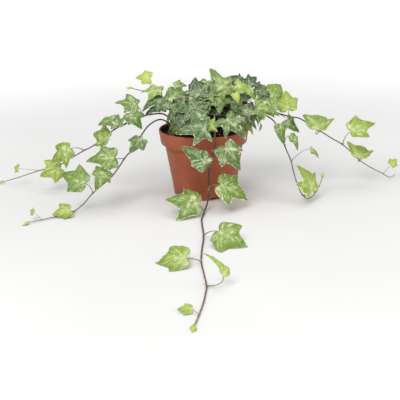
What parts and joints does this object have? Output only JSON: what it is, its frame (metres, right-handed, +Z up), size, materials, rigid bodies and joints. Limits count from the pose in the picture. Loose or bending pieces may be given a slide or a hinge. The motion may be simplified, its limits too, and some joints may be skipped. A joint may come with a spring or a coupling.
{
  "type": "potted ivy",
  "caption": "Small-leaved variegated ivy in a round tapered nursery pot, with a leafy crown over the rim and long leafy shoots trailing down to the surface it stands on.",
  "frame": {"origin": "centre of the pot's flat underside, on the surface that the pot stands on", "axes": "+Z up along the pot's axis; -Y towards the front, the side the longest shoot trails out of; +X to the right of someone facing the front"},
  "size_m": [0.562, 0.4791, 0.1654],
  "materials": {
    "pot": "satin",
    "potting_soil": "matte",
    "stem": "matte",
    "leaf": "satin"
  },
  "bodies": {
    "root": {"leaf_crown_back_1": "leaf", "leaf_crown_back_2": "leaf", "leaf_crown_front_left_1": "leaf", "leaf_crown_front_left_2": "leaf", "leaf_crown_front_left_3": "leaf", "leaf_crown_front_right_1": "leaf", "leaf_crown_front_right_2": "leaf", "leaf_crown_front_right_3": "leaf", "leaf_crown_middle_1": "leaf", "leaf_crown_middle_2": "leaf", "leaf_crown_middle_3": "leaf", "leaf_front_1": "leaf", "leaf_front_2": "leaf", "leaf_front_3": "leaf", "leaf_front_4": "leaf", "leaf_front_5": "leaf", "leaf_front_6": "leaf", "leaf_front_7": "leaf", "leaf_front_8": "leaf", "leaf_front_9": "leaf", "leaf_left_high_1": "leaf", "leaf_left_high_2": "leaf", "leaf_left_high_3": "leaf", "leaf_left_high_4": "leaf", "leaf_left_high_5": "leaf", "leaf_left_high_6": "leaf", "leaf_left_high_7": "leaf", "leaf_left_high_8": "leaf", "leaf_left_low_1": "leaf", "leaf_left_low_2": "leaf", "leaf_left_low_3": "leaf", "leaf_left_low_4": "leaf", "leaf_left_low_5": "leaf", "leaf_left_low_6": "leaf", "leaf_right_long_1": "leaf", "leaf_right_long_2": "leaf", "leaf_right_long_3": "leaf", "leaf_right_long_4": "leaf", "leaf_right_long_5": "leaf", "leaf_right_long_6": "leaf", "leaf_right_long_7": "leaf", "leaf_right_short_1": "leaf", "leaf_right_short_2": "leaf", "leaf_right_short_3": "leaf", "leaf_right_short_4": "leaf", "leaf_upper_left_1": "leaf", "leaf_upper_left_2": "leaf", "leaf_upper_left_3": "leaf", "pot": "pot", "potting_soil": "potting_soil", "stem_crown_back": "stem", "stem_crown_front_left": "stem", "stem_crown_front_right": "stem", "stem_crown_middle": "stem", "stem_front": "stem", "stem_left_high": "stem", "stem_left_low": "stem", "stem_right_long": "stem", "stem_right_short": "stem", "stem_upper_left": "stem"}
  },
  "joints": []
}
